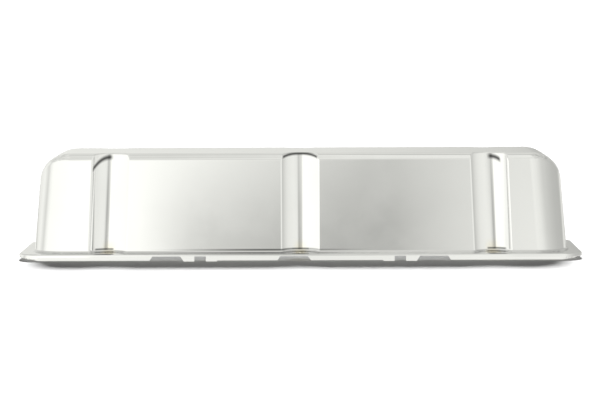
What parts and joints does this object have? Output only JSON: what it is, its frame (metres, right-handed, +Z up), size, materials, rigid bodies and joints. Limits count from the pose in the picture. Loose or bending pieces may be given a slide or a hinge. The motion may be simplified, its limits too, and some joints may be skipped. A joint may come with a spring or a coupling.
{
  "type": "engine valve cover",
  "caption": "Deep chromed steel cover that closes the valve gear of a V8 cylinder head, with bolt flutes down its long walls, a flat roof and a notched, turned-down rim.",
  "frame": {"origin": "middle of the footprint, on the plane that the feet of the rim stand on", "axes": "+X along the cover, to the right as seen from the pictured long side; +Y away from that side; +Z up to the roof"},
  "size_m": [0.47, 0.125, 0.0885],
  "materials": {
    "chromed_steel": "bright chrome plating, fully polished outside"
  },
  "bodies": {
    "root": {"valve_cover_shell": "chromed_steel"}
  },
  "joints": []
}
